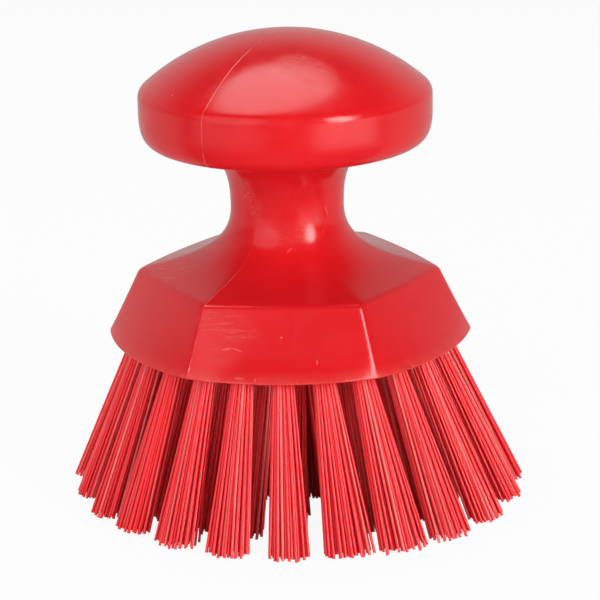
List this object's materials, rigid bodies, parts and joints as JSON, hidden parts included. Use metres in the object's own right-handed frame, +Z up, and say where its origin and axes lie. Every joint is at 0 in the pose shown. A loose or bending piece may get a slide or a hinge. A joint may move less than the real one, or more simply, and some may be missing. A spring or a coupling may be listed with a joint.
{
  "type": "round hand scrubbing brush",
  "caption": "Round hand scrubbing brush: a moulded palm knob on a waisted neck and six-sided block, with a splayed fan of stiff bristle tufts.",
  "frame": {"origin": "centre of the plane that the bristle tips stand on, on the brush's axis", "axes": "+Z up along the brush's axis, from the tips to the top of the knob; -Y is the front, which one side of the six-sided block faces; +X is to the right as seen from the front"},
  "size_m": [0.1102, 0.1102, 0.1125],
  "materials": {
    "body": "glossy injection-moulded red plastic",
    "bristle": "extruded red filament with a satin sheen",
    "anchor": "bright drawn steel strip"
  },
  "bodies": {
    "root": {"brush_body": "body", "outer_tuft_01": "bristle", "outer_tuft_02": "bristle", "outer_tuft_03": "bristle", "outer_tuft_04": "bristle", "outer_tuft_05": "bristle", "outer_tuft_06": "bristle", "outer_tuft_07": "bristle", "outer_tuft_08": "bristle", "outer_tuft_09": "bristle", "outer_tuft_10": "bristle", "outer_tuft_11": "bristle", "outer_tuft_12": "bristle", "outer_tuft_13": "bristle", "outer_tuft_14": "bristle", "outer_tuft_15": "bristle", "outer_tuft_16": "bristle", "outer_tuft_17": "bristle", "outer_tuft_18": "bristle", "outer_tuft_19": "bristle", "outer_tuft_20": "bristle", "outer_tuft_21": "bristle", "outer_tuft_22": "bristle", "outer_tuft_23": "bristle", "outer_tuft_24": "bristle", "middle_tuft_ring": "bristle", "inner_tuft_ring": "bristle", "centre_tufts": "bristle", "tuft_anchor_01": "anchor", "tuft_anchor_02": "anchor", "tuft_anchor_03": "anchor", "tuft_anchor_04": "anchor", "tuft_anchor_05": "anchor", "tuft_anchor_06": "anchor", "tuft_anchor_07": "anchor", "tuft_anchor_08": "anchor", "tuft_anchor_09": "anchor", "tuft_anchor_10": "anchor", "tuft_anchor_11": "anchor", "tuft_anchor_12": "anchor", "tuft_anchor_13": "anchor", "tuft_anchor_14": "anchor", "tuft_anchor_15": "anchor", "tuft_anchor_16": "anchor", "tuft_anchor_17": "anchor", "tuft_anchor_18": "anchor", "tuft_anchor_19": "anchor", "tuft_anchor_20": "anchor", "tuft_anchor_21": "anchor", "tuft_anchor_22": "anchor", "tuft_anchor_23": "anchor", "tuft_anchor_24": "anchor"}
  },
  "joints": []
}
